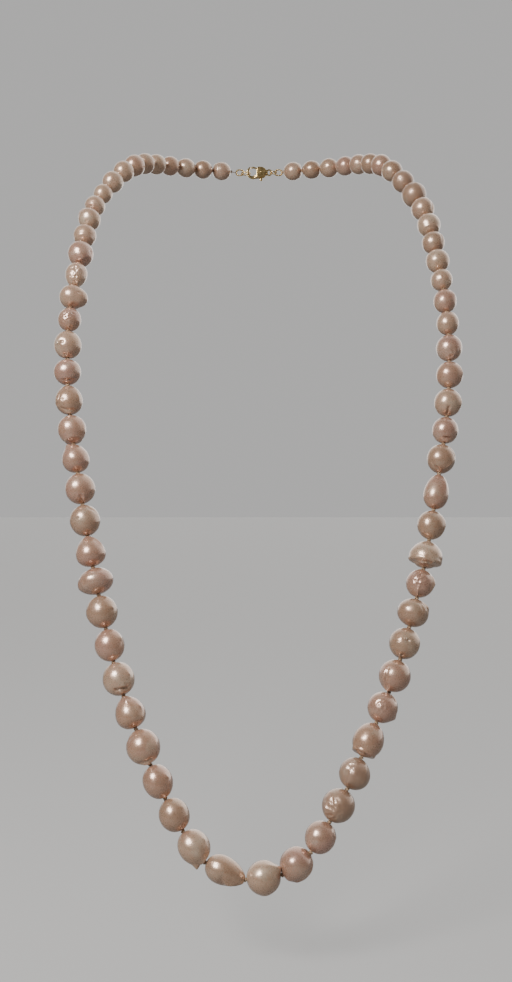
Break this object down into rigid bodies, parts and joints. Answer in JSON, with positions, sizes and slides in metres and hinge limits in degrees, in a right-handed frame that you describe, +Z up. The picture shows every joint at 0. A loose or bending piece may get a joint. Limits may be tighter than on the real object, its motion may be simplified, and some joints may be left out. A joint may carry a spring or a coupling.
{
  "type": "pearl necklace",
  "caption": "Long single strand of baroque freshwater pearls, hand-knotted on silk, hung as worn round a neck and fastened at the nape by a small sprung lobster claw.",
  "frame": {"origin": "middle of the wearer's neck, level with the clasp at the nape", "axes": "+Z up, the wearer faces -Y, +X towards the wearer's left, which is the right of someone facing the wearer"},
  "size_m": [0.1681, 0.1854, 0.317],
  "materials": {
    "nacre": "peach-pink champagne freshwater nacre, silky to bright lustre with fine growth wrinkles",
    "silk": "tan twisted silk, knotted by hand after every pearl",
    "gold_clasp": "polished gold plate",
    "gold_wire": "fine coiled gilt wire over the silk",
    "spring_steel": "plain spring leaf"
  },
  "bodies": {
    "nape": {"nape_pearls_left": "nacre", "nape_pearls_right": "nacre", "shoulder_pearls_left": "nacre", "shoulder_pearls_right": "nacre", "silk_thread": "silk", "jump_ring": "gold_clasp", "eye_ring": "gold_clasp", "wire_loop_left": "gold_wire", "wire_loop_right": "gold_wire"},
    "tier_06": {"pearl_left_06": "nacre", "pearl_right_06": "nacre"},
    "tier_07": {"pearl_left_07": "nacre", "pearl_right_07": "nacre"},
    "tier_08": {"pearl_left_08": "nacre", "pearl_right_08": "nacre"},
    "tier_09": {"pearl_left_09": "nacre", "pearl_right_09": "nacre"},
    "tier_10": {"pearl_left_10": "nacre", "pearl_right_10": "nacre"},
    "tier_11": {"pearl_left_11": "nacre", "pearl_right_11": "nacre"},
    "tier_12": {"pearl_left_12": "nacre", "pearl_right_12": "nacre"},
    "tier_13": {"pearl_left_13": "nacre", "pearl_right_13": "nacre"},
    "tier_14": {"pearl_left_14": "nacre", "pearl_right_14": "nacre"},
    "tier_15": {"pearl_left_15": "nacre", "pearl_right_15": "nacre"},
    "tier_16": {"pearl_left_16": "nacre", "pearl_right_16": "nacre"},
    "tier_17": {"pearl_left_17": "nacre", "pearl_right_17": "nacre"},
    "tier_18": {"pearl_left_18": "nacre", "pearl_right_18": "nacre"},
    "tier_19": {"pearl_left_19": "nacre", "pearl_right_19": "nacre"},
    "tier_20": {"pearl_left_20": "nacre", "pearl_right_20": "nacre"},
    "tier_21": {"pearl_left_21": "nacre", "pearl_right_21": "nacre"},
    "tier_22": {"pearl_left_22": "nacre", "pearl_right_22": "nacre"},
    "tier_23": {"pearl_left_23": "nacre", "pearl_right_23": "nacre"},
    "tier_24": {"pearl_left_24": "nacre", "pearl_right_24": "nacre"},
    "tier_25": {"pearl_left_25": "nacre", "pearl_right_25": "nacre"},
    "tier_26": {"pearl_left_26": "nacre", "pearl_right_26": "nacre"},
    "tier_27": {"pearl_left_27": "nacre", "pearl_right_27": "nacre"},
    "tier_28": {"pearl_left_28": "nacre", "pearl_right_28": "nacre"},
    "centre": {"pearl_centre": "nacre"},
    "clasp": {"clasp_claw": "gold_clasp", "clasp_pin": "gold_clasp", "clasp_spring": "spring_steel"},
    "lever": {"clasp_lever": "gold_clasp"}
  },
  "joints": [
    {"name": "fold_06", "type": "hinge", "parent": "nape", "child": "tier_06", "pos_m": [0.00015, -0.03408, -0.05486], "axis": [-0.9996, 0.0155, 0.0243], "range_deg": [0, 15], "deforming": ["silk_thread"]},
    {"name": "fold_07", "type": "hinge", "parent": "tier_06", "child": "tier_07", "pos_m": [0.00017, -0.04004, -0.06407], "axis": [-0.9995, 0.0173, 0.0259], "range_deg": [0, 15]},
    {"name": "fold_08", "type": "hinge", "parent": "tier_07", "child": "tier_08", "pos_m": [0.00012, -0.04653, -0.07401], "axis": [-0.9997, 0.0129, 0.0208], "range_deg": [0, 15]},
    {"name": "fold_09", "type": "hinge", "parent": "tier_08", "child": "tier_09", "pos_m": [0.00006, -0.05206, -0.08412], "axis": [-0.9999, 0.0052, 0.0109], "range_deg": [0, 15]},
    {"name": "fold_10", "type": "hinge", "parent": "tier_09", "child": "tier_10", "pos_m": [0.00004, -0.05644, -0.09425], "axis": [-0.9999, 0.0047, 0.0118], "range_deg": [0, 15]},
    {"name": "fold_11", "type": "hinge", "parent": "tier_10", "child": "tier_11", "pos_m": [0, -0.06019, -0.10442], "axis": [-0.9999, 0.0034, 0.0102], "range_deg": [0, 15]},
    {"name": "fold_12", "type": "hinge", "parent": "tier_11", "child": "tier_12", "pos_m": [-0.00003, -0.06376, -0.11619], "axis": [-1, 0.0019, 0.0067], "range_deg": [0, 15]},
    {"name": "fold_13", "type": "hinge", "parent": "tier_12", "child": "tier_13", "pos_m": [-0.00008, -0.06702, -0.1275], "axis": [-1, 0.0026, 0.0092], "range_deg": [0, 15]},
    {"name": "fold_14", "type": "hinge", "parent": "tier_13", "child": "tier_14", "pos_m": [-0.00007, -0.07043, -0.13961], "axis": [-1, 0.0016, 0.0056], "range_deg": [0, 15]},
    {"name": "fold_15", "type": "hinge", "parent": "tier_14", "child": "tier_15", "pos_m": [0.00001, -0.07369, -0.15121], "axis": [-1, -0.0002, -0.0006], "range_deg": [0, 15]},
    {"name": "fold_16", "type": "hinge", "parent": "tier_15", "child": "tier_16", "pos_m": [-0.00003, -0.07705, -0.16302], "axis": [-1, 0.0006, 0.002], "range_deg": [0, 15]},
    {"name": "fold_17", "type": "hinge", "parent": "tier_16", "child": "tier_17", "pos_m": [-0.00021, -0.08076, -0.17646], "axis": [-0.9999, 0.0042, 0.0158], "range_deg": [0, 15]},
    {"name": "fold_18", "type": "hinge", "parent": "tier_17", "child": "tier_18", "pos_m": [-0.00014, -0.08401, -0.18858], "axis": [-0.9999, 0.0029, 0.0107], "range_deg": [0, 15]},
    {"name": "fold_19", "type": "hinge", "parent": "tier_18", "child": "tier_19", "pos_m": [-0.00013, -0.08717, -0.1999], "axis": [-1, 0.0012, 0.0041], "range_deg": [0, 15]},
    {"name": "fold_20", "type": "hinge", "parent": "tier_19", "child": "tier_20", "pos_m": [-0.00038, -0.09028, -0.21064], "axis": [-1, 0.0026, 0.009], "range_deg": [0, 15]},
    {"name": "fold_21", "type": "hinge", "parent": "tier_20", "child": "tier_21", "pos_m": [-0.00039, -0.09369, -0.22225], "axis": [-1, -0.0015, -0.0051], "range_deg": [0, 15]},
    {"name": "fold_22", "type": "hinge", "parent": "tier_21", "child": "tier_22", "pos_m": [-0.00065, -0.0972, -0.23409], "axis": [-1, -0.0026, -0.0087], "range_deg": [0, 15]},
    {"name": "fold_23", "type": "hinge", "parent": "tier_22", "child": "tier_23", "pos_m": [-0.00082, -0.10086, -0.24592], "axis": [-0.9999, -0.0047, -0.0147], "range_deg": [0, 15]},
    {"name": "fold_24", "type": "hinge", "parent": "tier_23", "child": "tier_24", "pos_m": [-0.0009, -0.10441, -0.25699], "axis": [-0.9997, -0.0078, -0.0243], "range_deg": [0, 15]},
    {"name": "fold_25", "type": "hinge", "parent": "tier_24", "child": "tier_25", "pos_m": [-0.00106, -0.10814, -0.26899], "axis": [-0.9995, -0.0094, -0.0312], "range_deg": [0, 15]},
    {"name": "fold_26", "type": "hinge", "parent": "tier_25", "child": "tier_26", "pos_m": [-0.00087, -0.11144, -0.27994], "axis": [-0.9987, -0.0147, -0.0482], "range_deg": [0, 15]},
    {"name": "fold_27", "type": "hinge", "parent": "tier_26", "child": "tier_27", "pos_m": [-0.00087, -0.1148, -0.29071], "axis": [-0.9983, -0.0177, -0.056], "range_deg": [0, 15]},
    {"name": "fold_28", "type": "hinge", "parent": "tier_27", "child": "tier_28", "pos_m": [-0.00026, -0.11799, -0.30059], "axis": [-0.9962, -0.0277, -0.0822], "range_deg": [0, 15]},
    {"name": "centre_pearl_turn", "type": "hinge", "parent": "tier_28", "child": "centre", "pos_m": [0.00172, -0.12052, -0.30674], "axis": [-0.9929, -0.0617, -0.1014], "continuous": true},
    {"name": "clasp_roll", "type": "hinge", "parent": "nape", "child": "clasp", "pos_m": [0, 0.0565, 0], "axis": [1, 0, 0], "range_deg": [-25, 25]},
    {"name": "clasp_lever_press", "type": "hinge", "parent": "clasp", "child": "lever", "pos_m": [0.0015, 0.0565, 0], "axis": [0, -1, 0], "range_deg": [0, 20], "stiffness_Nm_per_rad": 0.004, "springref_deg": -11.46, "deforming": ["clasp_spring"]}
  ]
}
